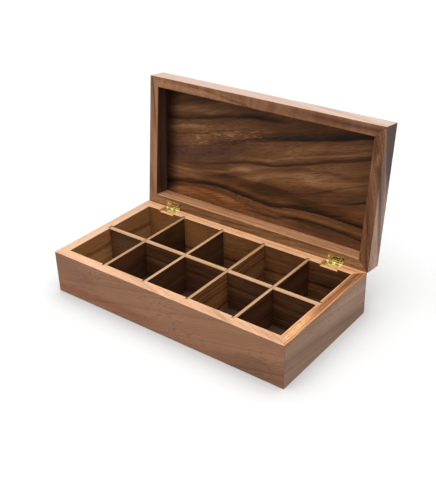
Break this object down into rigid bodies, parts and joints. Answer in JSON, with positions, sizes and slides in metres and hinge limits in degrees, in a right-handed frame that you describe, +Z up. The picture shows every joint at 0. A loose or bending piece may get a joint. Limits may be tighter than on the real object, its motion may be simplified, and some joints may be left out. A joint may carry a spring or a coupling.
{
  "type": "tea bag organizer box",
  "caption": "Wooden tea bag organizer box with two rows of divided compartments and a hinged lid on brass stop hinges.",
  "frame": {"origin": "centre of the base's underside, on the surface that the box stands on", "axes": "+X along the front from left to right, +Y from the front to the hinged back, +Z up; the lid is open"},
  "size_m": [0.368, 0.2411, 0.248],
  "materials": {
    "case_wood": "satin oiled acacia, long grain",
    "divider_wood": "satin oiled acacia, long grain",
    "bottom_wood": "satin oiled acacia veneered panel",
    "lid_panel_wood": "satin oiled acacia, strongly figured",
    "brass": "polished brass"
  },
  "bodies": {
    "base": {"base_front_wall": "case_wood", "base_right_wall": "case_wood", "base_back_wall": "case_wood", "base_left_wall": "case_wood", "base_bottom_panel": "bottom_wood", "long_divider": "divider_wood", "cross_divider_1": "divider_wood", "cross_divider_2": "divider_wood", "cross_divider_3": "divider_wood", "cross_divider_4": "divider_wood", "base_hinge_leaf_left": "brass", "base_hinge_leaf_right": "brass", "base_hinge_screws_left": "brass", "base_hinge_screws_right": "brass", "hinge_pin_left": "brass", "hinge_pin_right": "brass"},
    "lid": {"lid_front_wall": "case_wood", "lid_right_wall": "case_wood", "lid_back_wall": "case_wood", "lid_left_wall": "case_wood", "lid_top_panel": "lid_panel_wood", "lid_hinge_leaf_left": "brass", "lid_hinge_leaf_right": "brass", "lid_hinge_screws_left": "brass", "lid_hinge_screws_right": "brass"}
  },
  "joints": [
    {"name": "lid_hinge", "type": "hinge", "parent": "base", "child": "lid", "pos_m": [0, 0.095, 0.05945], "axis": [1, 0, 0], "range_deg": [0, 96.5]}
  ]
}
